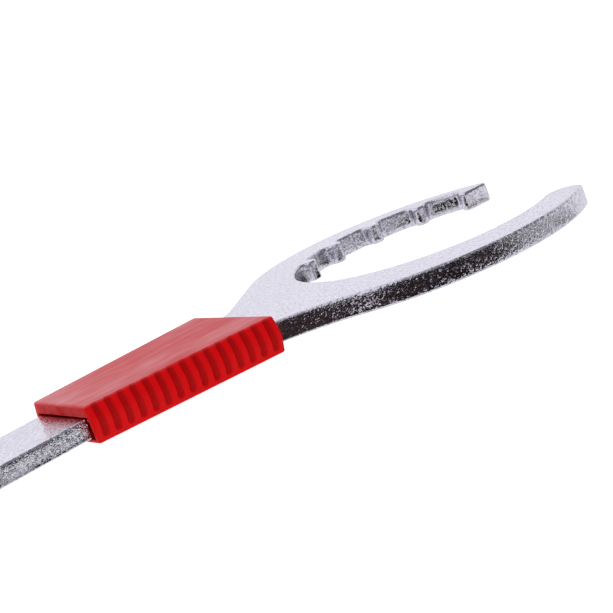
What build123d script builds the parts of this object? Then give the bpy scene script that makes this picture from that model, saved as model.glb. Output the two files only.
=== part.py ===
"""Basin wrench: a chromed steel open-jaw wrench and the ribbed plastic sleeve on its shank.

Millimetres, +Z up.  The origin is the centre of the jaw, level with the underside of the head.
+X runs from the handle to the jaw along the sleeve, and +Y points to the arm that carries the lugs.
The shank leaves the head towards -X and slopes gently down.
"""

import math
import os

from build123d import *

# ---------------------------------------------------------------- driving dimensions: the head
HEAD_THICKNESS = 5.0
JAW_RADIUS = 34.0  # plain wall of the jaw, from the jaw's centre
LUG_COUNT = 5
LUG_PITCH = 23.5  # degrees from one lug to the next
LAST_LUG_ANGLE = 31.8  # degrees from +X to the lug at the arm's tip
LUG_HEIGHT = 3.6  # how far a lug stands in from the plain wall
LUG_NOSE_RADIUS = 1.9
LUG_ROOT_RADIUS = 1.6
SMOOTH_WALL_STEP = 2.5  # the arm without lugs closes in on a radius this much smaller
SMOOTH_WALL_START = 215.0  # degrees, where it leaves the jaw's own radius
NEAR_BACK_CENTRE = (-7.4, 0.0)  # back of the arm without lugs
NEAR_ARM_WIDTH = 11.0
FAR_BACK_CENTRE = (-5.0, 2.5)  # back of the arm with lugs
FAR_ARM_WIDTH = 7.5
NEAR_TIP_X = 21.0
BEAK_RADIUS = 4.5  # inner corner of the near tip
TIP_CORNER_RADIUS = 1.5
NECK_SWEEP_RADIUS = 44.5  # hollow curve from the shank to the near arm
FLARE_ANGLE = 45.0  # the neck's straight flare to the far arm
FLARE_ROOT_RADIUS = 12.0
RIM_RADIUS = 0.6  # round both faces of the plate

# ---------------------------------------------------------------- driving dimensions: the shank
SHANK_WIDTH = 23.5
SHANK_THICKNESS = 4.4
SHANK_SLOPE = 1.26  # degrees, down towards the handle's end
HANDLE_END_X = -212.0
HANG_HOLE_RADIUS = 4.0

# ---------------------------------------------------------------- driving dimensions: the sleeve
SLEEVE_TO_JAW_WALL = 24.3  # along the neck
SLEEVE_LENGTH = 46.25
SLEEVE_ABOVE_HEAD = 1.85
SLEEVE_BELOW_HEAD = 1.65
SLEEVE_HANDLE_WALL = 0.65  # side wall at its thin top edge, at the handle end
SLEEVE_JAW_WALL = 1.5  # the same, at the jaw end
SLEEVE_SIDE_BULGE = 1.55  # each side is this much wider at half height
SLEEVE_SIDE_RADIUS = 6.0  # rounds each side where it is widest
SLEEVE_EDGE_RADIUS = 0.6
CHANNEL_SIDE_GAP = 1.2  # beside the shank at the handle end
NECK_CLEARANCE = 0.35  # to the neck at the jaw end, and above and below the shank
GROOVE_PITCH = 3.0
GROOVE_RADIUS = 0.95
GROOVE_DEPTH = 0.55
GROOVE_END_BORDER = 1.8  # least plain length at each end of the sleeve
GROOVE_MARGIN = 1.2  # plain border above and below each groove


# ---------------------------------------------------------------- worked out from those
smooth_wall_radius = JAW_RADIUS - SMOOTH_WALL_STEP
near_back_radius = JAW_RADIUS + NEAR_ARM_WIDTH
far_back_radius = JAW_RADIUS + FAR_ARM_WIDTH
half_shank = SHANK_WIDTH / 2
sleeve_jaw_end_x = -JAW_RADIUS - SLEEVE_TO_JAW_WALL
slope = math.radians(SHANK_SLOPE)
root_x = sleeve_jaw_end_x + NECK_CLEARANCE  # the thinner, sloping shank starts just past the sleeve
sleeve_handle_end_x = sleeve_jaw_end_x - SLEEVE_LENGTH
sleeve_top = HEAD_THICKNESS + SLEEVE_ABOVE_HEAD
sleeve_bottom = -SLEEVE_BELOW_HEAD
sleeve_mid = (sleeve_top + sleeve_bottom) / 2
half_height = (sleeve_top - sleeve_bottom) / 2
side_tilt = math.atan(SLEEVE_SIDE_BULGE / half_height)
side_round_off = SLEEVE_SIDE_RADIUS * (1 / math.cos(side_tilt) - 1)
groove_steps = math.floor((SLEEVE_LENGTH - 2 * GROOVE_END_BORDER) / GROOVE_PITCH)
first_groove_x = sleeve_handle_end_x + (SLEEVE_LENGTH - groove_steps * GROOVE_PITCH) / 2

# the hollow curve that leads the shank into the near arm touches the back of that arm
sweep_y = -half_shank - NECK_SWEEP_RADIUS
sweep_reach = near_back_radius + NECK_SWEEP_RADIUS
sweep_x = NEAR_BACK_CENTRE[0] - math.sqrt(sweep_reach**2 - (sweep_y - NEAR_BACK_CENTRE[1]) ** 2)
sweep_centre = (sweep_x, sweep_y)

# the sleeve's channel clears the shank at one end and the neck at the other
neck_into_sleeve = max(sleeve_jaw_end_x - sweep_x, 0)
neck_half = -sweep_y - math.sqrt(NECK_SWEEP_RADIUS**2 - neck_into_sleeve**2)
channel_handle_half = half_shank + CHANNEL_SIDE_GAP
channel_jaw_half = max(neck_half + NECK_CLEARANCE, channel_handle_half)


def polar(centre, radius, degrees):
    """Point at an angle and a distance from a centre."""
    angle = math.radians(degrees)
    return (centre[0] + radius * math.cos(angle), centre[1] + radius * math.sin(angle))


def heading(start, end):
    """Angle in degrees of the way from one point to another."""
    return math.degrees(math.atan2(end[1] - start[1], end[0] - start[0]))


def arc(centre, radius, start_degrees, end_degrees):
    """Arc about a centre, the way round that its two angles say."""
    middle = (start_degrees + end_degrees) / 2
    points = [polar(centre, radius, a) for a in (start_degrees, middle, end_degrees)]
    return ThreePointArc(*points)


def shank_top(x):
    """Height of the shank's upper face above a place on the X axis."""
    return HEAD_THICKNESS + (x - root_x) * math.tan(slope)


# ---------------------------------------------------------------- outline of the wrench plate
def lug_edges(degrees, last):
    """One lug on the jaw's wall, walked towards smaller angles: root, nose, root.

    The last lug has no second root, because its nose runs straight into the arm's end face.
    """
    nose_distance = JAW_RADIUS - LUG_HEIGHT + LUG_NOSE_RADIUS
    root_distance = JAW_RADIUS - LUG_ROOT_RADIUS
    reach = LUG_NOSE_RADIUS + LUG_ROOT_RADIUS
    cosine = (nose_distance**2 + root_distance**2 - reach**2) / (2 * nose_distance * root_distance)
    spread = math.degrees(math.acos(cosine))
    nose = polar((0, 0), nose_distance, degrees)
    first_root = polar((0, 0), root_distance, degrees + spread)
    second_root = polar((0, 0), root_distance, degrees - spread)
    into_nose = heading(first_root, nose)
    out_of_nose = heading(second_root, nose)
    inward = degrees + 180
    first_touch = heading(nose, first_root)
    if first_touch < 0:
        first_touch += 360
    edges = [
        arc(first_root, LUG_ROOT_RADIUS, degrees + spread, into_nose),
        arc(nose, LUG_NOSE_RADIUS, first_touch, inward),
    ]
    if last:
        edges.append(arc(nose, LUG_NOSE_RADIUS, inward, 270))
        return edges, spread, (nose[0], nose[1] - LUG_NOSE_RADIUS)
    second_touch = heading(nose, second_root)
    if second_touch < inward:
        second_touch += 360
    edges.append(arc(nose, LUG_NOSE_RADIUS, inward, second_touch))
    if out_of_nose < degrees - spread - 180:
        out_of_nose += 360
    edges.append(arc(second_root, LUG_ROOT_RADIUS, out_of_nose, degrees - spread))
    return edges, spread, None


def far_arm_edges():
    """Lugged wall, end face and back of the far arm, from the throat round to the flare."""
    edges = []
    wall_from = SMOOTH_WALL_START
    for index in reversed(range(LUG_COUNT)):
        angle = LAST_LUG_ANGLE + index * LUG_PITCH
        lug, spread, face_start = lug_edges(angle, last=index == 0)
        edges.append(arc((0, 0), JAW_RADIUS, wall_from, angle + spread))
        edges.extend(lug)
        wall_from = angle - spread
    face_y = face_start[1]
    corner_y = face_y + TIP_CORNER_RADIUS
    reach = far_back_radius - TIP_CORNER_RADIUS
    corner_x = FAR_BACK_CENTRE[0] + math.sqrt(reach**2 - (corner_y - FAR_BACK_CENTRE[1]) ** 2)
    corner = (corner_x, corner_y)
    back_from = heading(FAR_BACK_CENTRE, corner)
    edges.append(Line(face_start, (corner_x, face_y)))
    edges.append(arc(corner, TIP_CORNER_RADIUS, -90, back_from))
    edges.append(arc(FAR_BACK_CENTRE, far_back_radius, back_from, 90 + FLARE_ANGLE))
    return edges


def neck_and_handle_edges():
    """Flare, shank and rounded handle end, round to the root of the near arm."""
    flare = math.radians(FLARE_ANGLE)
    flare_top = polar(FAR_BACK_CENTRE, far_back_radius, 90 + FLARE_ANGLE)
    corner_x = flare_top[0] - (flare_top[1] - half_shank) / math.tan(flare)
    trim = FLARE_ROOT_RADIUS * math.tan(flare / 2)
    flare_foot = (corner_x + trim * math.cos(flare), half_shank + trim * math.sin(flare))
    root_centre = (corner_x - trim, half_shank + FLARE_ROOT_RADIUS)
    handle_centre = (HANDLE_END_X + half_shank, 0)
    sweep_end = heading(sweep_centre, NEAR_BACK_CENTRE)
    edges = [
        Line(flare_top, flare_foot),
        arc(root_centre, FLARE_ROOT_RADIUS, FLARE_ANGLE - 90, -90),
        Line((corner_x - trim, half_shank), (handle_centre[0], half_shank)),
        arc(handle_centre, half_shank, 90, 270),
        Line((handle_centre[0], -half_shank), (sweep_x, -half_shank)),
        arc(sweep_centre, NECK_SWEEP_RADIUS, 90, sweep_end),
    ]
    return edges, sweep_end - 180


def near_arm_edges(back_from):
    """Back, end face, beak and smooth wall of the near arm."""
    corner_x = NEAR_TIP_X - TIP_CORNER_RADIUS
    corner_reach = near_back_radius - TIP_CORNER_RADIUS
    drop = math.sqrt(corner_reach**2 - (corner_x - NEAR_BACK_CENTRE[0]) ** 2)
    corner = (corner_x, NEAR_BACK_CENTRE[1] - drop)
    back_to = heading(NEAR_BACK_CENTRE, corner)
    wall_centre = polar((0, 0), JAW_RADIUS - smooth_wall_radius, SMOOTH_WALL_START)
    beak_x = NEAR_TIP_X - BEAK_RADIUS
    beak_reach = smooth_wall_radius + BEAK_RADIUS
    beak_drop = math.sqrt(beak_reach**2 - (beak_x - wall_centre[0]) ** 2)
    beak = (beak_x, wall_centre[1] - beak_drop)
    beak_to = heading(beak, wall_centre)
    return [
        arc(NEAR_BACK_CENTRE, near_back_radius, back_from, back_to),
        arc(corner, TIP_CORNER_RADIUS, back_to, 0),
        Line((NEAR_TIP_X, corner[1]), (NEAR_TIP_X, beak[1])),
        arc(beak, BEAK_RADIUS, 0, beak_to),
        arc(wall_centre, smooth_wall_radius, heading(wall_centre, beak), SMOOTH_WALL_START - 360),
    ]


def rounded_rims(plate, upper):
    """Round the upper or the lower rims, but no edge in the plane where head and shank meet."""
    rims = []
    for edge in plate.edges():
        middle = edge @ 0.5
        face_z = min(HEAD_THICKNESS, shank_top(middle.X))
        at_root = abs((edge @ 0).X - root_x) < 0.01 and abs((edge @ 1).X - root_x) < 0.01
        is_upper = middle.Z > face_z - SHANK_THICKNESS / 2
        if abs((edge % 0.5).Z) < 0.9 and not at_root and is_upper == upper:
            rims.append(edge)
    return fillet(rims, RIM_RADIUS)


def wrench_plate():
    """Head, neck and shank in one piece of steel, with the hanging hole."""
    neck, back_from = neck_and_handle_edges()
    plan = make_face(far_arm_edges() + neck + near_arm_edges(back_from))
    reach = 4 * JAW_RADIUS
    head_side = Pos(root_x + reach / 2, 0, HEAD_THICKNESS / 2) * Box(reach, reach, HEAD_THICKNESS)
    head = extrude(plan, reach, both=True) & head_side
    end_x = HANDLE_END_X - 1
    drop = SHANK_THICKNESS / math.cos(slope)
    side = Polyline(
        (root_x, HEAD_THICKNESS),
        (root_x, HEAD_THICKNESS - drop),
        (end_x, shank_top(end_x) - drop),
        (end_x, shank_top(end_x)),
        close=True,
    )
    shank = extrude(plan, reach, both=True) & extrude(Plane.XZ * make_face(side), reach, both=True)
    hole_x = HANDLE_END_X + half_shank
    hole_at = Location((hole_x, 0, shank_top(hole_x)), (0, -SHANK_SLOPE, 0))
    shank -= hole_at * Cylinder(HANG_HOLE_RADIUS, 4 * SHANK_THICKNESS)
    plate = rounded_rims(head, upper=False) + rounded_rims(shank, upper=False)
    return rounded_rims(plate, upper=True)


# ---------------------------------------------------------------- the sleeve
def side_wall_y(x, z):
    """Half width of the sleeve's outside at a place along it and a height."""
    share = (x - sleeve_handle_end_x) / SLEEVE_LENGTH
    handle_half = channel_handle_half + SLEEVE_HANDLE_WALL
    jaw_half = channel_jaw_half + SLEEVE_JAW_WALL
    top_half = handle_half + share * (jaw_half - handle_half)
    return top_half + SLEEVE_SIDE_BULGE * (1 - abs(z - sleeve_mid) / half_height)


def sleeve_section(x):
    """Six-sided outline of the sleeve across its length."""
    right = [(side_wall_y(x, z), z) for z in (sleeve_bottom, sleeve_mid, sleeve_top)]
    left = [(-y, z) for y, z in reversed(right)]
    plane = Plane(origin=(x, 0, 0), x_dir=(0, 1, 0), z_dir=(1, 0, 0))
    return plane * make_face(Polyline(*(right + left), close=True))


def groove_cutter(x, side):
    """Bent rod with round ends that follows both slopes of one side wall."""
    lift = GROOVE_RADIUS - GROOVE_DEPTH
    heights = (sleeve_bottom + GROOVE_MARGIN, sleeve_mid, sleeve_top - GROOVE_MARGIN)
    rounded_off = (0, side_round_off, 0)
    knots = []
    for z, off in zip(heights, rounded_off):
        knots.append(Vector(x, side * (side_wall_y(x, z) - off + lift), z))
    pieces = [Pos(*knot) * Sphere(GROOVE_RADIUS) for knot in knots]
    for start, end in zip(knots, knots[1:]):
        path = Line(start, end)
        pieces.append(extrude(Plane(start, z_dir=path % 0) * Circle(GROOVE_RADIUS), path.length))
    return pieces


def shank_channel():
    """Space inside the sleeve: level with the sloping shank, and as wide as the neck needs."""
    over = 2.0
    start = sleeve_handle_end_x - over
    end = sleeve_jaw_end_x + over
    widen = over * (channel_jaw_half - channel_handle_half) / SLEEVE_LENGTH
    plan = Polyline(
        (start, widen - channel_handle_half),
        (end, -widen - channel_jaw_half),
        (end, widen + channel_jaw_half),
        (start, channel_handle_half - widen),
        close=True,
    )
    floor = SHANK_THICKNESS / math.cos(slope) + NECK_CLEARANCE
    side = Polyline(
        (start, shank_top(start) - floor),
        (end, shank_top(end) - floor),
        (end, shank_top(end) + NECK_CLEARANCE),
        (start, shank_top(start) + NECK_CLEARANCE),
        close=True,
    )
    column = extrude(make_face(plan), 8 * HEAD_THICKNESS, both=True)
    return column & extrude(Plane.XZ * make_face(side), 2 * channel_jaw_half, both=True)


def runs_along_side(edge):
    """Tell whether an edge runs the sleeve's length on a side wall, away from the top and bottom."""
    height = abs((edge @ 0.5).Z - sleeve_mid)
    return edge.length > SLEEVE_LENGTH / 2 and height < half_height - 0.5


def grip_sleeve():
    """Ribbed sleeve, wider at the jaw end and fullest at half height."""
    body = loft([sleeve_section(sleeve_handle_end_x), sleeve_section(sleeve_jaw_end_x)], ruled=True)
    ridges = [edge for edge in body.edges() if runs_along_side(edge)]
    body = fillet(ridges, SLEEVE_SIDE_RADIUS)
    others = [edge for edge in body.edges() if not runs_along_side(edge)]
    body = fillet(others, SLEEVE_EDGE_RADIUS)
    cutters = []
    for index in range(groove_steps + 1):
        for side in (-1, 1):
            cutters += groove_cutter(first_groove_x + index * GROOVE_PITCH, side)
    return body - cutters - shank_channel()


# ---------------------------------------------------------------- one file for each piece
def write_part(name, shape):
    """Write one node, and say what it holds."""
    export_step(shape, f"parts/{name}.step")
    box = shape.bounding_box()
    print(name, "solids", len(shape.solids()), "volume", round(shape.volume, 1), "box", box.size)


os.makedirs("parts", exist_ok=True)
write_part("wrench_plate", wrench_plate())
write_part("grip_sleeve", grip_sleeve())
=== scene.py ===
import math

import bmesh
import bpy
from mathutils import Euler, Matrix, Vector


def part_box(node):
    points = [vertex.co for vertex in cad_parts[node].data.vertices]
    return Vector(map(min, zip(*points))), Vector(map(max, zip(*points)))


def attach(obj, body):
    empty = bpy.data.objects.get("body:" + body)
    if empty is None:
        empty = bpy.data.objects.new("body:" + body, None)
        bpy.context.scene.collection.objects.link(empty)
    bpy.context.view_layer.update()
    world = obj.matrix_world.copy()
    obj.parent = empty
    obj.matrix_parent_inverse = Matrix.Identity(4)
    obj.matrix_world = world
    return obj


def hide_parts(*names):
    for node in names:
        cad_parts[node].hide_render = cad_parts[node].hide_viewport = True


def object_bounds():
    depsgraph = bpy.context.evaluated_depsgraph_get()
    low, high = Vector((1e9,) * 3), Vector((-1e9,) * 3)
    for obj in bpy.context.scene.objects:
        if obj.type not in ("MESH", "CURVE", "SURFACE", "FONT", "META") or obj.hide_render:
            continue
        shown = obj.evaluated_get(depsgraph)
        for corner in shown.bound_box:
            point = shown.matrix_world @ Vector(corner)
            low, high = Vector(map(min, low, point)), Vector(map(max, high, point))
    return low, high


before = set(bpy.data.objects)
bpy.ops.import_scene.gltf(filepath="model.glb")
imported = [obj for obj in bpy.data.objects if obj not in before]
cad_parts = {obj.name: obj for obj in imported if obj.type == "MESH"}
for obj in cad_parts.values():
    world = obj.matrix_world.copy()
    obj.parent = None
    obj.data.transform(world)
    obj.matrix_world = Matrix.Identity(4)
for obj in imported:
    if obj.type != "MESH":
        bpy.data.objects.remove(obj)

# %% [markdown]
# # A basin wrench in two pieces
#
# The real tool is one flat piece of chromed steel with a red plastic sleeve pushed over its shank.
# The packed CAD model is the frame: it says where everything is, and nothing here moves it.
# Both pieces are built again in Blender, because plated steel shows every facet of a CAD mesh in
# its reflections.  The new ones have smooth arcs, rounded rims and even rows of faces.

MM = 0.001
cad_box = [list(corner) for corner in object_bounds()]
plate_low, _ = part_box("wrench_plate")
sleeve_low, sleeve_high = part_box("grip_sleeve")
print("CAD box in mm", [[round(v / MM, 2) for v in corner] for corner in cad_box])

# %% [markdown]
# ## Shader and node maths written as expressions
#
# A node tree for a surface is mostly arithmetic.  `Wire` wraps one output socket and turns
# `+ - * /` into Math nodes, so that a groove's depth or a grain's height reads like a formula.
# `Tree.node` makes any other node: its settings first, and then its sockets.  Shader trees and
# geometry trees share the same Math node, so one pair of helpers serves both.


# %% Wire and Tree
class Wire:
    """One output socket that can be used in sums."""

    def __init__(self, tree, socket):
        self.tree = tree
        self.socket = socket

    def __add__(self, other):
        return self.tree.maths("ADD", self, other)

    def __radd__(self, other):
        return self.tree.maths("ADD", other, self)

    def __sub__(self, other):
        return self.tree.maths("SUBTRACT", self, other)

    def __rsub__(self, other):
        return self.tree.maths("SUBTRACT", other, self)

    def __mul__(self, other):
        return self.tree.maths("MULTIPLY", self, other)

    def __rmul__(self, other):
        return self.tree.maths("MULTIPLY", other, self)

    def __truediv__(self, other):
        return self.tree.maths("DIVIDE", self, other)


class Tree:
    """Makes nodes in a shader tree or a geometry tree."""

    def __init__(self, node_tree):
        self.node_tree = node_tree

    def node(self, kind, settings=None, sockets=None, out=0):
        """A new node; a Wire among the sockets is linked, and anything else is set."""
        made = self.node_tree.nodes.new(kind)
        for name, value in (settings or {}).items():
            setattr(made, name, value)
        for name, value in (sockets or {}).items():
            if isinstance(value, Wire):
                self.node_tree.links.new(value.socket, made.inputs[name])
            else:
                made.inputs[name].default_value = value
        return Wire(self, made.outputs[out])

    def maths(self, operation, *values):
        """A Math node whose sockets are filled in order."""
        sockets = dict(enumerate(values))
        return self.node("ShaderNodeMath", {"operation": operation}, sockets)

    def mix(self, factor, first, second):
        """A colour between two colours."""
        sockets = {0: factor, 6: first, 7: second}
        return self.node("ShaderNodeMix", {"data_type": "RGBA"}, sockets, out=2)


print("a Tree makes", [name for name in vars(Tree) if not name.startswith("_")])


# %% [markdown]
# ## The camera
#
# The tool is seen low and from the handle's side with a long lens, and the camera is rolled, so
# that the shank leaves the view at the lower left.

# %% Camera
CAMERA_PLACE = (-221.44, -314.25, 74.44)
CAMERA_TURN = (77.787, 20.369, -34.408)
camera_data = bpy.data.cameras.new("camera")
camera_data.lens = 93.96
camera_data.sensor_width = 36.0
camera_data.clip_start = 0.01
camera = bpy.data.objects.new("camera", camera_data)
camera.location = Vector(CAMERA_PLACE) * MM
camera.rotation_euler = Euler([math.radians(v) for v in CAMERA_TURN])
bpy.context.scene.collection.objects.link(camera)
bpy.context.scene.camera = camera
print("camera is", round(camera.location.length / MM), "mm from the jaw's centre")

# %% [markdown]
# ## The plate's outline
#
# The plate is cut from sheet: everything about its shape is in its outline, a closed chain of
# arcs and lines that touch without corners.  Each point carries the direction that points out of
# the steel there.  Moving the points in against that direction gives the rims their round, and
# it gives the shading smooth normals for nothing.

# %% Sizes of the plate, in millimetres, as in the CAD source
HEAD_THICKNESS = 5.0
JAW_RADIUS = 34.0
LUG_COUNT = 5
LUG_PITCH = 23.5
LAST_LUG_ANGLE = 31.8
LUG_HEIGHT = 3.6
LUG_NOSE_RADIUS = 1.9
LUG_ROOT_RADIUS = 1.6
SMOOTH_WALL_RADIUS = 31.5
SMOOTH_WALL_START = 215.0
NEAR_BACK_CENTRE = (-7.4, 0.0)
NEAR_BACK_RADIUS = 45.0
FAR_BACK_CENTRE = (-5.0, 2.5)
FAR_BACK_RADIUS = 41.5
NEAR_TIP_X = 21.0
BEAK_RADIUS = 4.5
TIP_CORNER_RADIUS = 1.5
NECK_SWEEP_RADIUS = 44.5
FLARE_ANGLE = 45.0
FLARE_ROOT_RADIUS = 12.0
RIM_RADIUS = 0.6
HALF_SHANK = 11.75
SHANK_THICKNESS = 4.4
SHANK_SLOPE = math.radians(1.26)
HANDLE_END_X = plate_low.x / MM
HANG_HOLE_RADIUS = 4.0
CLEARANCE = 0.35
ROOT_X = sleeve_high.x / MM + CLEARANCE
print("handle ends at", round(HANDLE_END_X, 2), "and the thinner shank starts at", round(ROOT_X, 2))

# %% How finely the plate is divided
LONGEST_CHORD = 0.7
LONGEST_TURN = 9
END_FACE_STEPS = 4
FLARE_STEPS = 12
SHANK_STEPS = 60
TIP_STEPS = 2
RIM_STEPS = 5
ROUND_TO_FLAT = 0.25
SHOULDER_LENGTH = 0.25
print("an arc's chords are at most", LONGEST_CHORD, "mm and turn at most", LONGEST_TURN, "degrees")


# %% Arcs, lines and headings
def polar(centre, radius, degrees):
    """The point at a radius and an angle from a centre."""
    angle = math.radians(degrees)
    return (centre[0] + radius * math.cos(angle), centre[1] + radius * math.sin(angle))


def heading(start, end):
    """The direction from one point to another, in degrees."""
    return math.degrees(math.atan2(end[1] - start[1], end[0] - start[0]))


def arc(centre, radius, start, end):
    """Points (x, y, outward x, outward y), without the last one, which the next stretch gives."""
    sweep = math.radians(abs(end - start))
    by_length = math.ceil(sweep * radius / LONGEST_CHORD)
    by_turn = math.ceil(math.degrees(sweep) / LONGEST_TURN)
    count = max(by_length, by_turn, 1)
    side = 1 if end > start else -1
    made = []
    for index in range(count):
        degrees = start + (end - start) * index / count
        out = polar((0, 0), side, degrees)
        made.append((*polar(centre, radius, degrees), *out))
    return made


def line(start, end, count=1):
    """Points along a straight edge, without the last one."""
    length = math.dist(start, end)
    out = ((end[1] - start[1]) / length, (start[0] - end[0]) / length)
    made = []
    for index in range(count):
        share = index / count
        x = start[0] + (end[0] - start[0]) * share
        y = start[1] + (end[1] - start[1]) * share
        made.append((x, y, *out))
    return made


print("a quarter of the jaw's wall takes", len(arc((0, 0), JAW_RADIUS, 0, 90)), "points")

# %% [markdown]
# ### Lugs
#
# One arm's wall carries five rounded lugs that bite on the nut.  Each is a nose arc between two
# root arcs, and the same function makes all five at an even pitch.  The last has no second root,
# because its nose runs into the arm's end face.


# %% One lug
def lug(degrees, last):
    """Points of one lug, the angle it takes up on each side, and where the end face starts."""
    nose_distance = JAW_RADIUS - LUG_HEIGHT + LUG_NOSE_RADIUS
    root_distance = JAW_RADIUS - LUG_ROOT_RADIUS
    reach = LUG_NOSE_RADIUS + LUG_ROOT_RADIUS
    cosine = (nose_distance**2 + root_distance**2 - reach**2) / (2 * nose_distance * root_distance)
    spread = math.degrees(math.acos(cosine))
    nose = polar((0, 0), nose_distance, degrees)
    first_root = polar((0, 0), root_distance, degrees + spread)
    second_root = polar((0, 0), root_distance, degrees - spread)
    inward = degrees + 180
    first_touch = heading(nose, first_root) % 360
    second_touch = heading(nose, second_root)
    while second_touch < inward:
        second_touch += 360
    out_of_nose = heading(second_root, nose)
    while out_of_nose < degrees - spread:
        out_of_nose += 360
    made = arc(first_root, LUG_ROOT_RADIUS, degrees + spread, heading(first_root, nose))
    if last:
        made += arc(nose, LUG_NOSE_RADIUS, first_touch, 270)
        return made, spread, (nose[0], nose[1] - LUG_NOSE_RADIUS)
    made += arc(nose, LUG_NOSE_RADIUS, first_touch, second_touch)
    made += arc(second_root, LUG_ROOT_RADIUS, out_of_nose, degrees - spread)
    return made, spread, None


print("a lug takes up", round(2 * lug(LAST_LUG_ANGLE, last=False)[1], 2), "degrees of the wall")


# %% The arm with the lugs
def lugged_arm():
    """Wall, lugs, end face and back of the far arm, as far as the flare."""
    made = []
    wall_from = SMOOTH_WALL_START
    for index in reversed(range(LUG_COUNT)):
        angle = LAST_LUG_ANGLE + index * LUG_PITCH
        points, spread, face_start = lug(angle, last=index == 0)
        made += arc((0, 0), JAW_RADIUS, wall_from, angle + spread) + points
        wall_from = angle - spread
    corner_y = face_start[1] + TIP_CORNER_RADIUS
    reach = FAR_BACK_RADIUS - TIP_CORNER_RADIUS
    corner_x = FAR_BACK_CENTRE[0] + math.sqrt(reach**2 - (corner_y - FAR_BACK_CENTRE[1]) ** 2)
    back_from = heading(FAR_BACK_CENTRE, (corner_x, corner_y))
    made += line(face_start, (corner_x, face_start[1]), END_FACE_STEPS)
    made += arc((corner_x, corner_y), TIP_CORNER_RADIUS, -90, back_from)
    made += arc(FAR_BACK_CENTRE, FAR_BACK_RADIUS, back_from, 90 + FLARE_ANGLE)
    return made


print("points on the arm with the lugs", len(lugged_arm()))


# %% The neck and the shank
def touching_centre():
    """Centre of the hollow curve that touches the shank's edge and the smooth arm's back."""
    y = -HALF_SHANK - NECK_SWEEP_RADIUS
    reach = NEAR_BACK_RADIUS + NECK_SWEEP_RADIUS
    return (NEAR_BACK_CENTRE[0] - math.sqrt(reach**2 - (y - NEAR_BACK_CENTRE[1]) ** 2), y)


NECK_SWEEP_CENTRE = touching_centre()


def neck_and_shank():
    """From the flare round the handle's end to the smooth arm, and the angle where that starts."""
    flare = math.radians(FLARE_ANGLE)
    flare_top = polar(FAR_BACK_CENTRE, FAR_BACK_RADIUS, 90 + FLARE_ANGLE)
    corner_x = flare_top[0] - (flare_top[1] - HALF_SHANK) / math.tan(flare)
    trim = FLARE_ROOT_RADIUS * math.tan(flare / 2)
    flare_foot = (corner_x + trim * math.cos(flare), HALF_SHANK + trim * math.sin(flare))
    root_centre = (corner_x - trim, HALF_SHANK + FLARE_ROOT_RADIUS)
    end_x = HANDLE_END_X + HALF_SHANK
    sweep_end = heading(NECK_SWEEP_CENTRE, NEAR_BACK_CENTRE)
    made = line(flare_top, flare_foot, FLARE_STEPS)
    made += arc(root_centre, FLARE_ROOT_RADIUS, FLARE_ANGLE - 90, -90)
    made += line((corner_x - trim, HALF_SHANK), (end_x, HALF_SHANK), SHANK_STEPS)
    made += arc((end_x, 0), HALF_SHANK, 90, 270)
    made += line((end_x, -HALF_SHANK), (NECK_SWEEP_CENTRE[0], -HALF_SHANK), SHANK_STEPS)
    made += arc(NECK_SWEEP_CENTRE, NECK_SWEEP_RADIUS, 90, sweep_end)
    return made, sweep_end - 180


print("points on the neck and shank", len(neck_and_shank()[0]))


# %% The smooth arm
def smooth_arm(back_from):
    """Back, tip and wall of the near arm, whose wall runs on into the lugged one's."""
    corner_x = NEAR_TIP_X - TIP_CORNER_RADIUS
    corner_reach = NEAR_BACK_RADIUS - TIP_CORNER_RADIUS
    drop = math.sqrt(corner_reach**2 - (corner_x - NEAR_BACK_CENTRE[0]) ** 2)
    corner = (corner_x, NEAR_BACK_CENTRE[1] - drop)
    back_to = heading(NEAR_BACK_CENTRE, corner)
    wall_centre = polar((0, 0), JAW_RADIUS - SMOOTH_WALL_RADIUS, SMOOTH_WALL_START)
    beak_x = NEAR_TIP_X - BEAK_RADIUS
    beak_reach = SMOOTH_WALL_RADIUS + BEAK_RADIUS
    beak_drop = math.sqrt(beak_reach**2 - (beak_x - wall_centre[0]) ** 2)
    beak = (beak_x, wall_centre[1] - beak_drop)
    wall_end = SMOOTH_WALL_START - 360
    made = arc(NEAR_BACK_CENTRE, NEAR_BACK_RADIUS, back_from, back_to)
    made += arc(corner, TIP_CORNER_RADIUS, back_to, 0)
    made += line((NEAR_TIP_X, corner[1]), (NEAR_TIP_X, beak[1]), TIP_STEPS)
    made += arc(beak, BEAK_RADIUS, 0, heading(beak, wall_centre))
    made += arc(wall_centre, SMOOTH_WALL_RADIUS, heading(wall_centre, beak), wall_end)
    return made


print("points on the smooth arm", len(smooth_arm(neck_and_shank()[1])))

# %% Join the stretches into one outline
shank_points, smooth_arm_start = neck_and_shank()
outline = lugged_arm() + shank_points + smooth_arm(smooth_arm_start)
hole_centre = (HANDLE_END_X + HALF_SHANK, 0)
hang_hole = arc(hole_centre, HANG_HOLE_RADIUS, 360, 0)
print("outline points", len(outline), "and hole points", len(hang_hole))

# %% [markdown]
# ## The plate
#
# A stack of copies of the outline makes the rims and the wall between them.  The outermost copy
# on each face sits a little inside the round, so that the round's shading ends there and the flat
# face stays flat.  The two faces are then filled, hole and all.
#
# The shank is a little thinner than the head and slopes down, so every point behind the root is
# lowered to suit, with the cut made first along the root so that no face bends across it.


# %% Rounded rims from a stack of rings
def rim_stack(thickness):
    """Pairs of (how far in, how high) from the middle of one face to the other."""
    upper = [(RIM_RADIUS + ROUND_TO_FLAT, thickness)]
    for index in range(RIM_STEPS + 1):
        angle = math.radians(90 - 90 * index / RIM_STEPS)
        inset = RIM_RADIUS * (1 - math.cos(angle))
        upper.append((inset, thickness - RIM_RADIUS * (1 - math.sin(angle))))
    middle = [(0.0, thickness * share) for share in (0.7, 0.5, 0.3)]
    lower = [(inset, thickness - height) for inset, height in reversed(upper)]
    return upper + middle + lower


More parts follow.
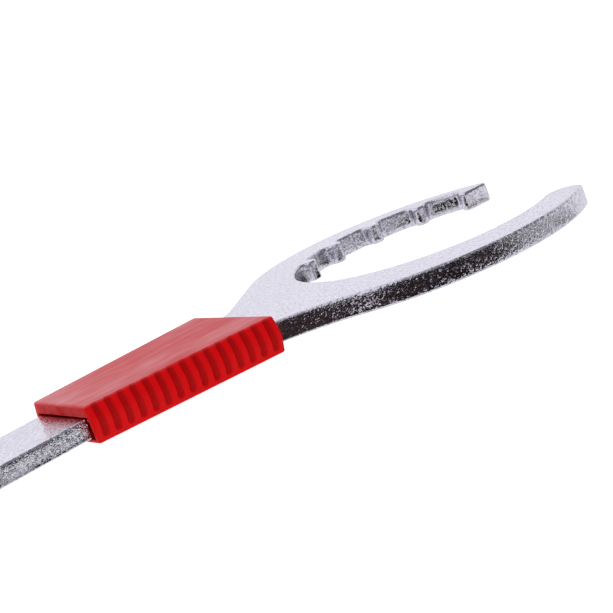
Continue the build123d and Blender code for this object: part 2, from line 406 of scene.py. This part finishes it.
def ring_wall(bm, loop, rim):
    """Closed wall of quads round a loop; gives back the top ring and the bottom ring.

    Points on a rounded rim are marked in the rim layer, and the finish is rougher there.
    """
    rings = []
    for inset, height in rim_stack(HEAD_THICKNESS):
        ring = []
        for x, y, out_x, out_y in loop:
            vertex = bm.verts.new((x - inset * out_x, y - inset * out_y, height))
            vertex[rim] = 1.0 if 0 < inset < RIM_RADIUS else 0.0
            ring.append(vertex)
        rings.append(ring)
    for upper, lower in zip(rings, rings[1:]):
        for index in range(len(loop)):
            after = (index + 1) % len(loop)
            bm.faces.new((upper[index], upper[after], lower[after], lower[index]))
    return rings[0], rings[-1]


print("rings in the plate's wall", len(rim_stack(HEAD_THICKNESS)))


# %% The shank's slope and its thinner section
def settle_shank(point):
    """Lowers a point of the flat plate to its place on the sloping shank."""
    if point.x >= ROOT_X:
        return
    top = HEAD_THICKNESS + (point.x - ROOT_X) * math.tan(SHANK_SLOPE)
    bottom = top - SHANK_THICKNESS / math.cos(SHANK_SLOPE)
    if point.z > HEAD_THICKNESS / 2:
        point.z = max(top - HEAD_THICKNESS + point.z, (top + bottom) / 2)
    else:
        shoulder = min((ROOT_X - point.x) / SHOULDER_LENGTH, 1)
        point.z = min(point.z + shoulder * bottom, (top + bottom) / 2)


print("the handle's end lies", round((ROOT_X - HANDLE_END_X) * math.tan(SHANK_SLOPE), 2), "mm lower")


# %% Finish a mesh
SHARP_CORNER = 40


def finish_mesh(bm, name):
    """Outward faces, smooth shading except at real corners, and millimetres to metres."""
    bmesh.ops.recalc_face_normals(bm, faces=bm.faces)
    bmesh.ops.scale(bm, vec=(MM, MM, MM), verts=bm.verts)
    mesh = bpy.data.meshes.new(name)
    bm.to_mesh(mesh)
    bm.free()
    for polygon in mesh.polygons:
        polygon.use_smooth = True
    mesh.set_sharp_from_angle(angle=math.radians(SHARP_CORNER))
    piece = bpy.data.objects.new(name, mesh)
    bpy.context.scene.collection.objects.link(piece)
    return piece


def loop_edges(bm, ring):
    """The edges of a closed ring of points."""
    made = []
    for start, end in zip(ring, ring[1:] + ring[:1]):
        made.append(bm.edges.get((start, end)))
    return made


def count_open_edges(bm):
    return sum(1 for edge in bm.edges if len(edge.link_faces) != 2)


print("corners sharper than", SHARP_CORNER, "degrees stay sharp")

# %% Build the plate
plate_bm = bmesh.new()
rim_layer = plate_bm.verts.layers.float.new("rim")
outer_top, outer_bottom = ring_wall(plate_bm, outline, rim_layer)
hole_top, hole_bottom = ring_wall(plate_bm, hang_hole, rim_layer)
for outer, hole, up in ((outer_top, hole_top, 1), (outer_bottom, hole_bottom, -1)):
    edges = loop_edges(plate_bm, outer) + loop_edges(plate_bm, hole)
    bmesh.ops.triangle_fill(plate_bm, use_beauty=True, edges=edges, normal=(0, 0, up))
for cut_x in (ROOT_X, ROOT_X - SHOULDER_LENGTH):
    everything = plate_bm.verts[:] + plate_bm.edges[:] + plate_bm.faces[:]
    bmesh.ops.bisect_plane(plate_bm, geom=everything, plane_co=(cut_x, 0, 0), plane_no=(1, 0, 0))
for vertex in plate_bm.verts:
    settle_shank(vertex.co)
bmesh.ops.triangulate(plate_bm, faces=[f for f in plate_bm.faces if len(f.verts) > 4])
open_edges = count_open_edges(plate_bm)
wrench = finish_mesh(plate_bm, "wrench_steel")
print("plate faces", len(wrench.data.polygons), "open edges", open_edges)

# %% [markdown]
# ## The sleeve's plain body
#
# The sleeve is one hollow moulding, six-sided across, wider at the jaw end, with every edge
# rounded.  It is built as a loft of many sections along the shank.  Its two side walls have
# close, even rows of points, because the grooves are pressed into those rows afterwards.

# %% Sizes of the sleeve, in millimetres, as in the CAD source
SLEEVE_START = sleeve_low.x / MM
SLEEVE_END = sleeve_high.x / MM
SLEEVE_LENGTH = SLEEVE_END - SLEEVE_START
SLEEVE_TOP = sleeve_high.z / MM
SLEEVE_BOTTOM = sleeve_low.z / MM
SLEEVE_MIDDLE = (SLEEVE_TOP + SLEEVE_BOTTOM) / 2
HANDLE_WALL = 0.65
JAW_WALL = 1.5
SIDE_BULGE = 1.55
EDGE_RADIUS = 0.6
SIDE_RADIUS = 6.0
CHANNEL_SIDE_GAP = 1.2
CHANNEL_HANDLE_HALF = HALF_SHANK + CHANNEL_SIDE_GAP
GROOVE_PITCH = 3.0
GROOVE_RADIUS = 0.95
GROOVE_DEPTH = 0.55
GROOVE_MARGIN = 1.2
GROOVE_STEPS = 14
FIRST_GROOVE_X = SLEEVE_START + (SLEEVE_LENGTH - GROOVE_STEPS * GROOVE_PITCH) / 2
sweep_x, sweep_y = NECK_SWEEP_CENTRE
neck_rise = math.sqrt(NECK_SWEEP_RADIUS**2 - (SLEEVE_END - sweep_x) ** 2)
CHANNEL_JAW_HALF = -sweep_y - neck_rise + CLEARANCE
print("sleeve", round(SLEEVE_LENGTH, 2), "long, channel", round(2 * CHANNEL_JAW_HALF, 2), "at the jaw")

# %% How finely the sleeve is divided
CORNER_RADII = (EDGE_RADIUS, EDGE_RADIUS, SIDE_RADIUS, EDGE_RADIUS, EDGE_RADIUS, SIDE_RADIUS)
CORNER_STEPS = (5, 5, 16, 5, 5, 16)
SECTION_ROWS = (8, 12, 12, 10, 12, 12)
END_STEPS = 5
COLUMNS = 300
SIDE_WALL_TILT = 0.25
SAME_PLACE = 0.001
print("points round a section", sum(CORNER_STEPS) + sum(SECTION_ROWS))


# %% Widths along the sleeve
def channel_half(x):
    """Half the width of the shank's channel at x."""
    share = (x - SLEEVE_START) / SLEEVE_LENGTH
    return CHANNEL_HANDLE_HALF + share * (CHANNEL_JAW_HALF - CHANNEL_HANDLE_HALF)


def sleeve_corners(x):
    """The six corners (y, z) of the section at x, walked anticlockwise from the lower left."""
    share = (x - SLEEVE_START) / SLEEVE_LENGTH
    edge = channel_half(x) + HANDLE_WALL + share * (JAW_WALL - HANDLE_WALL)
    right = [(edge, SLEEVE_BOTTOM), (edge + SIDE_BULGE, SLEEVE_MIDDLE), (edge, SLEEVE_TOP)]
    left = [(-y, z) for y, z in reversed(right)]
    return left[-1:] + right + left[:-1]


print("half widths of the channel", [round(channel_half(x), 2) for x in (SLEEVE_START, SLEEVE_END)])


# %% A section with rounded corners
def corner_arc(centre, radius, start, turn, steps):
    """Points on a rounded corner, both ends included."""
    made = []
    for step in range(steps + 1):
        out = polar((0, 0), 1, start + turn * step / steps)
        made.append((centre[0] + radius * out[0], centre[1] + radius * out[1], *out))
    return made


def rounded_section(corners):
    """Points (y, z, outward y, outward z) round the section, with its corners rounded."""
    count = len(corners)
    arrivals = [heading(corners[index - 1], corners[index]) for index in range(count)]
    turns = [(arrivals[(index + 1) % count] - arrivals[index]) % 360 for index in range(count)]
    trims = []
    for radius, turn in zip(CORNER_RADII, turns):
        trims.append(radius * math.tan(math.radians(turn / 2)))
    made = []
    for index, here in enumerate(corners):
        after = (index + 1) % count
        radius = CORNER_RADII[index]
        touch = polar(here, -trims[index], arrivals[index])
        centre = polar(touch, radius, arrivals[index] + 90)
        made += corner_arc(centre, radius, arrivals[index] - 90, turns[index], CORNER_STEPS[index])
        start = polar(here, trims[index], arrivals[after])
        end = polar(corners[after], -trims[after], arrivals[after])
        made += line(start, end, SECTION_ROWS[index])[1:]
    return made


widest = max(point[0] for point in rounded_section(sleeve_corners(SLEEVE_END)))
print("the sleeve is widest at the jaw's end,", round(2 * widest, 2), "mm")


# %% Places along the sleeve
def sleeve_stations():
    """Pairs of (place along the sleeve, how far the section is drawn in) from end to end."""
    ends = []
    for step in range(END_STEPS):
        angle = math.radians(90 - 90 * step / END_STEPS)
        along = EDGE_RADIUS * (1 - math.sin(angle))
        ends.append((along, EDGE_RADIUS * (1 - math.cos(angle))))
    plain = SLEEVE_LENGTH - 2 * EDGE_RADIUS
    made = [(SLEEVE_START + along, inset) for along, inset in ends]
    for column in range(COLUMNS + 1):
        made.append((SLEEVE_START + EDGE_RADIUS + plain * column / COLUMNS, 0.0))
    made += [(SLEEVE_END - along, inset) for along, inset in reversed(ends)]
    return made


def channel_ring(bm, x):
    """Four corners of the shank's channel where it meets one end of the sleeve."""
    half = channel_half(x)
    top = HEAD_THICKNESS + (x - ROOT_X) * math.tan(SHANK_SLOPE)
    low = top - SHANK_THICKNESS / math.cos(SHANK_SLOPE) - CLEARANCE
    high = top + CLEARANCE
    corners = ((-half, low), (half, low), (half, high), (-half, high))
    return [bm.verts.new((x, y, z)) for y, z in corners]


print("sections along the sleeve", len(sleeve_stations()))

# %% Loft the sleeve and close its ends
sleeve_bm = bmesh.new()
press_way = sleeve_bm.verts.layers.float_vector.new("press_way")
rings = []
for x, inset in sleeve_stations():
    ring = []
    for y, z, out_y, out_z in rounded_section(sleeve_corners(x)):
        vertex = sleeve_bm.verts.new((x, y - inset * out_y, z - inset * out_z))
        if abs(out_y) > SIDE_WALL_TILT:
            vertex[press_way] = (0.0, -out_y, -out_z)
        ring.append(vertex)
    rings.append(ring)
for before, after in zip(rings, rings[1:]):
    for index in range(len(before)):
        step = (index + 1) % len(before)
        sleeve_bm.faces.new((before[index], before[step], after[step], after[index]))
channel_rings = [channel_ring(sleeve_bm, SLEEVE_START), channel_ring(sleeve_bm, SLEEVE_END)]
for index in range(4):
    step = (index + 1) % 4
    first, last = channel_rings
    sleeve_bm.faces.new((first[index], first[step], last[step], last[index]))
bmesh.ops.remove_doubles(sleeve_bm, verts=sleeve_bm.verts, dist=SAME_PLACE / 2)
for end_x, way in ((SLEEVE_START, -1), (SLEEVE_END, 1)):
    edges = []
    for edge in sleeve_bm.edges:
        at_end = all(abs(vertex.co.x - end_x) < SAME_PLACE for vertex in edge.verts)
        if edge.is_boundary and at_end:
            edges.append(edge)
    bmesh.ops.triangle_fill(sleeve_bm, use_beauty=True, edges=edges, normal=(way, 0, 0))
open_edges = count_open_edges(sleeve_bm)
plain_sleeve = finish_mesh(sleeve_bm, "plain_sleeve")
print("plain sleeve faces", len(plain_sleeve.data.polygons), "open edges", open_edges)

# %% [markdown]
# ## Red plastic
#
# The sleeve is a red moulding with a deep, even colour.  Its flat top has long flow marks from the
# melt, as streaks in its roughness and bump, and a sheen that shows most where the surface is seen at a
# low angle.  That sheen is painted into the colour a little, as a paler red on the top, in streaks and
# near the handle's end, and it mostly thickens a clear coat, which mirrors the white room at low
# angles.  The grooves are painted darker at the bottom as painted shade, by the attribute that the
# groove tree writes.  All of it reads the piece's own coordinates, so it stays put when the sleeve
# slides.


# %% Material helpers
def new_material(name):
    """A material, its tree and its Principled shader."""
    material = bpy.data.materials.new(name)
    material.use_nodes = True
    tree = Tree(material.node_tree)
    shader = material.node_tree.nodes["Principled BSDF"]
    return material, tree, shader


def join(tree, wire, shader, name):
    """Links a varying value to one of the shader's sockets."""
    tree.node_tree.links.new(wire.socket, shader.inputs[name])


def place(tree, scale):
    """Object coordinates in millimetres, stretched by a factor on each axis."""
    where = tree.node("ShaderNodeTexCoord", out=3)
    scaled = tuple(factor / MM for factor in scale)
    return tree.node("ShaderNodeMapping", None, {"Vector": where, "Scale": scaled})


def noise(tree, scale, stretch=(1, 1, 1), detail=2.0, roughness=0.5):
    """Noise from 0 to 1 whose features are about one over scale in millimetres."""
    sockets = {"Vector": place(tree, stretch), "Scale": scale, "Detail": detail}
    sockets["Roughness"] = roughness
    return tree.node("ShaderNodeTexNoise", None, sockets)


def own_axis(tree, axis):
    """One of the piece's own coordinates, in millimetres."""
    parts = tree.node("ShaderNodeSeparateXYZ", None, {0: place(tree, (1, 1, 1))}).socket.node
    return Wire(tree, parts.outputs[axis])


def ramp(tree, value, low, high):
    """0 below low and 1 above high, with a soft rise between."""
    settings = {"interpolation_type": "SMOOTHSTEP"}
    return tree.node("ShaderNodeMapRange", settings, {0: value, 1: low, 2: high})


print("materials so far", len(bpy.data.materials))

# %% The red plastic
DEEP_RED = (0.54, 0.0002, 0.0015, 1.0)
SHEEN_PAINTED_RED = (0.58, 0.02, 0.025, 1.0)
SHADED_RED = (0.27, 0.0001, 0.0005, 1.0)
SHEEN_FADE_LENGTH = 25
red_plastic, tree, shader = new_material("red_moulding")
flow_marks_and_sheen_streaks = ramp(tree, noise(tree, 0.3, (0.18, 1.5, 1.0), 4.0, 0.65), 0.47, 0.63)
clouding = noise(tree, 0.07, (1.0, 1.6, 1.0), 3.0)
fine_grain = noise(tree, 4.0, detail=2.0)
pressed = tree.node("ShaderNodeAttribute", {"attribute_name": "pressed"}, out=2)
on_top = ramp(tree, own_axis(tree, "Z"), SLEEVE_TOP - 0.5, SLEEVE_TOP - 0.1)
sheen_near_handle = 1.0 - ramp(tree, own_axis(tree, "X"), SLEEVE_START, SLEEVE_START + SHEEN_FADE_LENGTH)
# Painted sheen: the top turns a paler red in streaks and near the handle's end; the same mask also
# thickens the real clear coat.
top_sheen = (0.6 * flow_marks_and_sheen_streaks + 0.6 * ramp(tree, clouding, 0.4, 0.7) + 0.35 * sheen_near_handle) * on_top
skin = tree.mix(top_sheen, DEEP_RED, SHEEN_PAINTED_RED)
join(tree, 0.15 * on_top + 0.9 * top_sheen, shader, "Coat Weight")
shader.inputs["Coat Roughness"].default_value = 0.4
# Painted shade: the groove bottoms are mixed toward a darker red by the pressed mark.
join(tree, tree.mix(pressed * 0.8, skin, SHADED_RED), shader, "Base Color")
join(tree, 0.26 + 0.18 * clouding + 0.16 * flow_marks_and_sheen_streaks, shader, "Roughness")
grain = {"Strength": 0.35, "Distance": 0.02 * MM, "Height": fine_grain + 2.0 * flow_marks_and_sheen_streaks}
join(tree, tree.node("ShaderNodeBump", None, grain), shader, "Normal")
shader.inputs["Specular IOR Level"].default_value = 0.06
print("material", red_plastic.name)

# %% [markdown]
# ## Grooves pressed into the sides
#
# Fifteen upright grooves run down each side wall.  They are all alike and evenly spaced, so a
# geometry tree makes them: it finds the nearest groove's centre line for every point of the side
# walls, and presses the point in by the depth of a round bar laid on that line.  Cutting thirty
# bars out of the body would do the same, but with ragged faces where the bars' ends meet.  The
# grooves have softened rims and run a little nearer to the sleeve's top than in the CAD source,
# and they stop a little sooner at the bottom.

# %% Sizes of the grooves, in metres as the tree wants them
HIGHER_AT_TOP = 0.5
SOONER_AT_BOTTOM = 0.6
SOFT_RIM = 0.35
groove_sizes = {
    "First groove": FIRST_GROOVE_X * MM,
    "Pitch": GROOVE_PITCH * MM,
    "Last step": float(GROOVE_STEPS),
    "Bar radius": GROOVE_RADIUS * MM,
    "Depth": GROOVE_DEPTH * MM,
    "Low end": (SLEEVE_BOTTOM + GROOVE_MARGIN + SOONER_AT_BOTTOM) * MM,
    "High end": (SLEEVE_TOP - GROOVE_MARGIN + HIGHER_AT_TOP) * MM,
    "Soft rim": SOFT_RIM * MM,
}
print("grooves", GROOVE_STEPS + 1, "on each side, the first at", round(FIRST_GROOVE_X, 2))


# %% The groove tree
def groove_tree(material):
    """A tree that presses the grooves in, marks them and gives the material."""
    made = bpy.data.node_groups.new("pressed_grooves", "GeometryNodeTree")
    face = made.interface
    face.new_socket("Geometry", in_out="INPUT", socket_type="NodeSocketGeometry")
    for name in groove_sizes:
        face.new_socket(name, in_out="INPUT", socket_type="NodeSocketFloat")
    face.new_socket("Geometry", in_out="OUTPUT", socket_type="NodeSocketGeometry")
    tree = Tree(made)
    entry = made.nodes.new("NodeGroupInput")
    sizes = {socket.name: Wire(tree, socket) for socket in entry.outputs if socket.name}
    position = tree.node("GeometryNodeInputPosition")
    parts = tree.node("ShaderNodeSeparateXYZ", None, {0: position}).socket.node
    x, z = Wire(tree, parts.outputs["X"]), Wire(tree, parts.outputs["Z"])
    step = tree.maths("ROUND", (x - sizes["First groove"]) / sizes["Pitch"])
    step = tree.maths("MAXIMUM", tree.maths("MINIMUM", step, sizes["Last step"]), 0.0)
    across = x - sizes["First groove"] - step * sizes["Pitch"]
    level = tree.maths("MAXIMUM", tree.maths("MINIMUM", z, sizes["High end"]), sizes["Low end"])
    above = z - level
    room = sizes["Bar radius"] * sizes["Bar radius"] - across * across - above * above
    bar = tree.maths("SQRT", tree.maths("MAXIMUM", room, 0.0))
    depth = bar - (sizes["Bar radius"] - sizes["Depth"])
    depth = tree.maths("SMOOTH_MAX", depth, 0.0, sizes["Soft rim"])
    settings = {"data_type": "FLOAT_VECTOR"}
    way = tree.node("GeometryNodeInputNamedAttribute", settings, {"Name": "press_way"})
    push = tree.node("ShaderNodeVectorMath", {"operation": "SCALE"}, {0: way, "Scale": depth})
    geometry = Wire(tree, entry.outputs[0])
    share = tree.maths("MINIMUM", depth / sizes["Depth"], 1.0)
    length = tree.node("ShaderNodeVectorMath", {"operation": "LENGTH"}, {0: way}, out=1)
    # This mark lets the material paint shade into the groove bottoms.
    marks = {"Geometry": geometry, "Name": "pressed", "Value": share * length}
    settings = {"data_type": "FLOAT", "domain": "POINT"}
    marked = tree.node("GeometryNodeStoreNamedAttribute", settings, marks)
    pressed = tree.node("GeometryNodeSetPosition", None, {"Geometry": marked, "Offset": push})
    real = tree.node("GeometryNodeRealizeInstances", None, {"Geometry": pressed})
    dressed = tree.node("GeometryNodeSetMaterial", None, {"Geometry": real, "Material": material})
    leave = made.nodes.new("NodeGroupOutput")
    made.links.new(dressed.socket, leave.inputs[0])
    return made


pressing = groove_tree(red_plastic)
print("nodes in the groove tree", len(pressing.nodes))


# %% Press the grooves
def bake_nodes(source, node_group, values, name):
    """Runs a geometry tree on an object and keeps the result as a plain mesh."""
    modifier = source.modifiers.new("nodes", "NODES")
    modifier.node_group = node_group
    for item in node_group.interface.items_tree:
        if item.in_out == "INPUT" and item.name in values:
            modifier[item.identifier] = values[item.name]
    graph = bpy.context.evaluated_depsgraph_get()
    mesh = bpy.data.meshes.new_from_object(source.evaluated_get(graph), depsgraph=graph)
    mesh.name = name
    made = bpy.data.objects.new(name, mesh)
    bpy.context.scene.collection.objects.link(made)
    source.modifiers.remove(modifier)
    bpy.data.objects.remove(source)
    return made


sleeve = bake_nodes(plain_sleeve, pressing, groove_sizes, "ribbed_sleeve")
print("sleeve faces", len(sleeve.data.polygons), "materials", [m.name for m in sleeve.data.materials])

# %% [markdown]
# ## Plated steel
#
# The plate is chromed over a finely pebbled skin.  From far off it is a bright lavender grey, and
# near to, every pebble throws a speck of whatever is around it, so the cut edges sparkle.  The
# grain is a bump made of two sizes of noise, stronger where a slow noise says so and on the
# rounded rims.  It is also coarser from the throat outwards, calmer on the lugged arm, and nearly
# worn away at both tips.

# %% The chrome
BRIGHT_STEEL = (0.76, 0.755, 0.835, 1.0)
DULL_STEEL = (0.62, 0.61, 0.67, 1.0)
COARSER_ALONG_X = (-20, -4)
WORN_ALONG_X = (9, 17)
CALMER_ALONG_Y = (-8, 4)
plated_steel, tree, shader = new_material("pebbled_chrome")
shader.inputs["Metallic"].default_value = 1.0
rim = tree.node("ShaderNodeAttribute", {"attribute_name": "rim"}, out=2)
pebbles = ramp(tree, noise(tree, 1.5, detail=1.0), 0.5, 0.75)
grit = noise(tree, 3.4, detail=1.0)
rough_patches = ramp(tree, noise(tree, 0.05, detail=2.0), 0.42, 0.62)
coarser_arm = ramp(tree, own_axis(tree, "X"), *COARSER_ALONG_X)
worn_tips = ramp(tree, own_axis(tree, "X"), *WORN_ALONG_X)
calmer_arm = ramp(tree, own_axis(tree, "Y"), *CALMER_ALONG_Y)
height = pebbles * (0.25 + 0.5 * rough_patches + 0.3 * rim + 0.5 * coarser_arm) + 0.3 * grit
height = height * (1.0 - 0.7 * worn_tips) * (1.0 - 0.4 * calmer_arm)
grain = {"Strength": 1.0, "Distance": 0.2 * MM, "Height": height}
join(tree, tree.node("ShaderNodeBump", None, grain), shader, "Normal")
specks = ramp(tree, noise(tree, 1.2, detail=2.0), 0.38, 0.58)
join(tree, tree.mix(specks, DULL_STEEL, BRIGHT_STEEL), shader, "Base Color")
join(tree, 0.06 + 0.10 * ramp(tree, pebbles, 0.4, 0.7), shader, "Roughness")
wrench.data.materials.append(plated_steel)
print("material", plated_steel.name)

# %% [markdown]
# ## A white studio
#
# Chrome shows its surroundings, so the studio is part of the finish.  There is a white floor, a
# white backdrop, a soft light overhead and a white room round it all.  A white room alone would
# make the steel white too, so it also has cards that only mirrors can see.  They tone the chrome,
# while the floor takes no light or shadow from them, and looked at directly they are not there.


# %% Cards
def paint(made, name, colour):
    """Sets one colour socket of a card's shader."""
    shader = made.data.materials[0].node_tree.nodes["Principled BSDF"]
    shader.inputs[name].default_value = (*colour, 1.0)


def card(name, corners, colour, glow, mottle=None):
    """A flat card that glows evenly, or in soft blotches between two colours."""
    mesh = bpy.data.meshes.new(name)
    mesh.from_pydata([Vector(corner) * MM for corner in corners], [], [range(len(corners))])
    made = bpy.data.objects.new(name, mesh)
    bpy.context.scene.collection.objects.link(made)
    material, tree, shader = new_material(name)
    mesh.materials.append(material)
    paint(made, "Base Color", colour)
    paint(made, "Emission Color", colour)
    shader.inputs["Roughness"].default_value = 0.9
    shader.inputs["Specular IOR Level"].default_value = 0.0
    shader.inputs["Emission Strength"].default_value = glow
    if mottle:
        blotches = ramp(tree, noise(tree, 0.25, detail=2.0), 0.45, 0.62)
        join(tree, tree.mix(blotches, (*colour, 1.0), (*mottle, 1.0)), shader, "Emission Color")
    return made


def for_mirrors_only(made):
    made.visible_camera = False
    made.visible_diffuse = False
    made.visible_shadow = False


def hidden_card(name, points, height, colour, mottle=None):
    """A level card for mirrors only.  It glows and takes no light, so its colour is exact."""
    made = card(name, [(x, y, height) for x, y in points], colour, 1.0, mottle)
    paint(made, "Base Color", NO_COLOUR)
    for_mirrors_only(made)


def hidden_wall(name, y, left, right, low, high, colour):
    """An upright card across the Y axis, for mirrors only."""
    made = card(name, [(left, y, low), (right, y, low), (right, y, high), (left, y, high)], colour, 1.0)
    for_mirrors_only(made)


NO_COLOUR = (0.0, 0.0, 0.0)
FLOOR_Z = cad_box[0][2] / MM
print("the floor lies at", round(FLOOR_Z, 2), "mm, at the tool's lowest point")

# %% [markdown]
# ### Floor and backdrop
#
# The floor glows white over a grey base, so it stays white under the tool and takes only a faint
# shadow.  The backdrop is there to be looked at: it lights nothing and shows in no mirror.

# %% Floor and backdrop
WIDE = 4000
BACKDROP_Y = 1500
BACKDROP_TOP = 3000
floor_corners = [(-WIDE, -WIDE), (WIDE, -WIDE), (WIDE, WIDE), (-WIDE, WIDE)]
floor = card("floor", [(x, y, FLOOR_Z) for x, y in floor_corners], (0.9, 0.9, 0.9), 1.1)
paint(floor, "Base Color", (0.35, 0.35, 0.35))
backdrop_corners = [(-WIDE, -10), (WIDE, -10), (WIDE, BACKDROP_TOP), (-WIDE, BACKDROP_TOP)]
backdrop_corners = [(x, BACKDROP_Y, z) for x, z in backdrop_corners]
backdrop = card("backdrop", backdrop_corners, (0.95, 0.95, 0.95), 1.2)
backdrop.visible_glossy = False
backdrop.visible_diffuse = False
print("floor and backdrop are", 2 * WIDE / 1000, "m wide")

# %% [markdown]
# ### Cards that the cut edges mirror
#
# The edges stand upright just above the floor, so each mirrors the strip of floor in front of it.
# A dark card with brown blotches in front of the head makes the near arm's side almost black with
# specks.  The rest of the floor is pale for the faces that look further out.  A small blotched
# card puts black and white patches on the near tip, and two more tone the wall of the throat and
# the sides of the lugs.  Beside the shank, a white strip and a dark line give its side a pale
# band over a dark one.  Each card lies a tenth of a millimetre or more above the one it covers.

# %% Cards on the floor
BLACK = (0.005, 0.005, 0.007)
BROWN = (0.065, 0.04, 0.036)
GREY = (0.55, 0.54, 0.57)
LIGHT_GREY = (0.85, 0.84, 0.87)
WHITE = (1.0, 1.0, 1.0)

front = [(-98, -15), (-57, -18), (-45, -33), (-28, -46), (-16, -50), (-5, -56)]
front += [(8, -60), (26, -90), (32, -700), (-700, -700), (-700, -38), (-98, -38)]
hidden_card("front_card", front, FLOOR_Z + 0.2, BLACK, BROWN)

pale = [(-700, -700), (700, -700), (700, 60), (-700, 60)]
hidden_card("pale_floor", pale, FLOOR_Z + 0.1, LIGHT_GREY)

tip = [(-4, -54), (10, -48), (22, -40), (32, -46), (40, -66), (34, -90), (10, -84)]
hidden_card("tip_card", tip, FLOOR_Z + 0.4, BLACK, WHITE)

throat = [(-33, 0), (-20, -22), (8, -15), (45, -15), (42, 10), (22, 12), (8, 20), (-2, 24), (-30, 24)]
hidden_card("throat_card", throat, FLOOR_Z + 0.3, LIGHT_GREY, BROWN)

flank = [(-18, 2), (10, 2), (8, 16), (4, 22), (-8, 25), (-18, 22)]
hidden_card("flank_card", flank, FLOOR_Z + 0.5, BLACK, BROWN)

shank_side = [(-95, -21), (-700, -21), (-700, -38), (-95, -38)]
hidden_card("shank_card", shank_side, FLOOR_Z + 0.3, WHITE)

shank_foot = [(-95, -13), (-700, -13), (-700, -21), (-95, -21)]
hidden_card("shank_line", shank_foot, FLOOR_Z + 0.4, BLACK, GREY)

# %% [markdown]
# ### Walls and a ceiling for the mirrors
#
# Some pebbles on the upright sides lean up and mirror what is above the floor.  A dark wall in
# front, with a nearly black skirt at its foot, and a dark ceiling over the right keep those from
# sparkling white.  They are greys and not black, because the steel's top mirrors them when it is
# seen from behind.  The grey horizon tones the pebbles of the top that lean away from the camera.

# %% Walls and ceiling
FRONT_LEFT, FRONT_RIGHT, ROOM_TOP = -900, 3000, 2500
hidden_wall("front_wall", -700, FRONT_LEFT, FRONT_RIGHT, 0, ROOM_TOP, (0.12, 0.115, 0.125))
hidden_wall("front_skirt", -695, FRONT_LEFT, FRONT_RIGHT, 0, 170, (0.015, 0.014, 0.016))
hidden_wall("horizon", 1400, -2500, 2500, -10, 100, (0.6, 0.58, 0.63))
overhead = [(100, -700), (3500, -700), (3500, 900), (100, 900)]
hidden_card("ceiling", overhead, ROOM_TOP, (0.16, 0.155, 0.17))

# %% [markdown]
# ### Light
#
# One large soft light hangs over the tool, and the white room does the rest.  The view transform
# is the plain one, so that white stays white.

# %% Light and room
SOFTBOX_PLACE = (-60, 60, 900)
SOFTBOX_AIM = (-60, 0, 0)
softbox_data = bpy.data.lights.new("overhead_softbox", "AREA")
softbox_data.size = 0.9
softbox_data.energy = 1.5
softbox = bpy.data.objects.new("overhead_softbox", softbox_data)
softbox.location = Vector(SOFTBOX_PLACE) * MM
aim = Vector(SOFTBOX_AIM) * MM - softbox.location
softbox.rotation_euler = aim.to_track_quat("-Z", "Y").to_euler()
bpy.context.scene.collection.objects.link(softbox)
softbox.visible_glossy = False
world = bpy.data.worlds.new("white_room")
bpy.context.scene.world = world
world.use_nodes = True
room = world.node_tree.nodes["Background"]
room.inputs["Color"].default_value = (0.95, 0.94, 1.0, 1.0)
room.inputs["Strength"].default_value = 0.9
bpy.context.scene.view_settings.view_transform = "Standard"
print("light", softbox.name, "hangs", round(softbox.location.z, 2), "m up")

# %% [markdown]
# ## Riding on the frame
#
# The steel rides on the wrench's body and the sleeve on its own, which slides.  Each piece stands for
# its CAD node.

# %% Ride and replace
for piece, body, node, slot in (
    (wrench, "wrench", "wrench_plate", "plated_steel"),
    (sleeve, "sleeve", "grip_sleeve", "red_plastic"),
):
    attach(piece, body)
    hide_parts(node)
